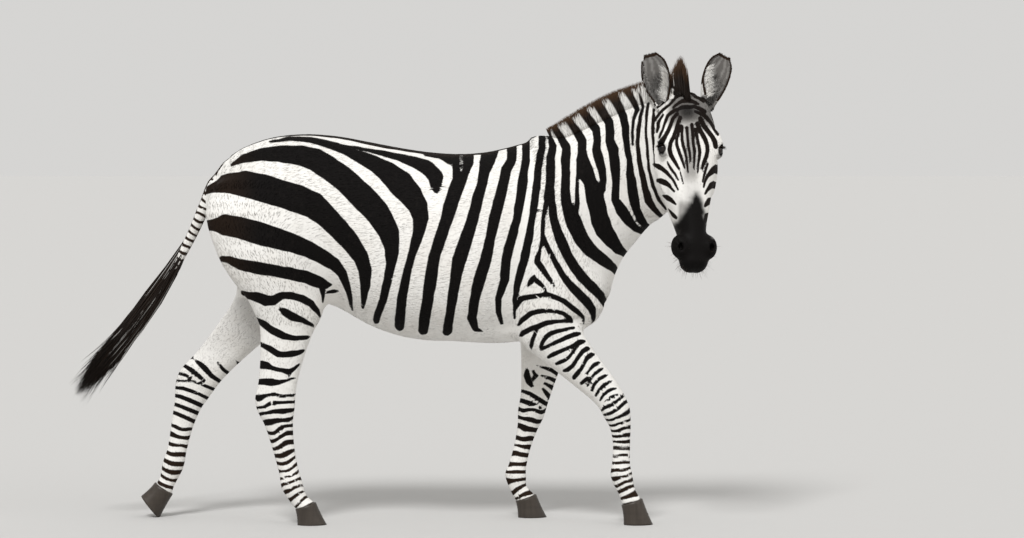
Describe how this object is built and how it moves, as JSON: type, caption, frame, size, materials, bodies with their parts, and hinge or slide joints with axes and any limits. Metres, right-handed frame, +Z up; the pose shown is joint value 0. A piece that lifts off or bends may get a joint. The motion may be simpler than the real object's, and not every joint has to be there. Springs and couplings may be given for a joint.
{
  "type": "plains zebra, still model",
  "caption": "Life-size still model of a plains zebra at a slow walk, its head turned square to its right, with upright mane and tufted tail.",
  "frame": {"origin": "middle of the bounding box at floor level", "axes": "+X the way the animal walks, +Y its left side, +Z up"},
  "size_m": [2.2348, 0.6418, 1.6002],
  "materials": {
    "coat": "short matt hair, striped black and white",
    "hair": "coarse dark hair",
    "horn": "dull horn",
    "eye": "wet, glossy"
  },
  "bodies": {
    "root": {"trunk": "coat", "neck": "coat", "head": "coat", "ear_left": "coat", "ear_right": "coat", "foreleg_left": "coat", "foreleg_right": "coat", "hindleg_left": "coat", "hindleg_right": "coat", "tail_dock": "coat", "eye_left": "eye", "eye_right": "eye", "forehoof_left": "horn", "forehoof_right": "horn", "hindhoof_left": "horn", "hindhoof_right": "horn", "mane": "hair", "tail_switch": "hair"}
  },
  "joints": []
}
